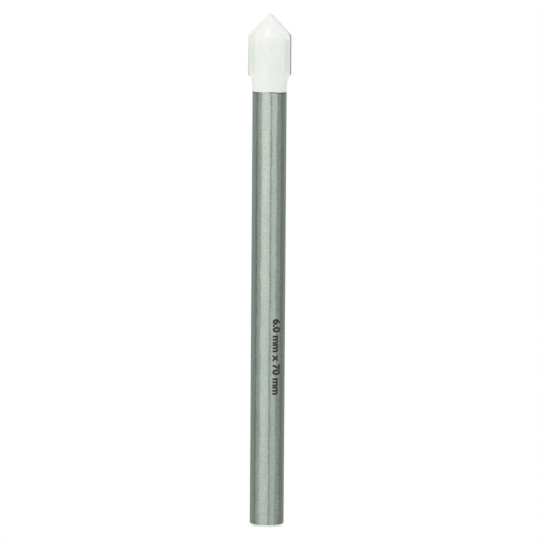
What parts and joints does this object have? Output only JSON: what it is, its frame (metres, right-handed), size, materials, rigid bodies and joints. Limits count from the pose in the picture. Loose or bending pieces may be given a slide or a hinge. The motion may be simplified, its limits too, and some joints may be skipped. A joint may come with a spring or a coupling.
{
  "type": "glass and tile drill bit",
  "caption": "Straight round shank with a spear-point carbide blade brazed across its slotted nose, for drilling glass and tile.",
  "frame": {"origin": "centre of the shank's flat end, which the bit stands on", "axes": "+Z along the shank's axis from its flat end to the point, +X across the blade's width, +Y through its thickness"},
  "size_m": [0.0058, 0.0048, 0.07],
  "materials": {
    "ground_steel": "satin, centreless ground, with fine marks round the shank",
    "carbide": "dark grey tungsten carbide, bare where it is ground",
    "braze": "dull silver braze, under the lacquer",
    "lacquer": "thin white dipped lacquer with a soft sheen"
  },
  "bodies": {
    "root": {"shank": "ground_steel", "carbide_blade": "carbide", "braze_joint": "braze", "tip_lacquer": "lacquer"}
  },
  "joints": []
}
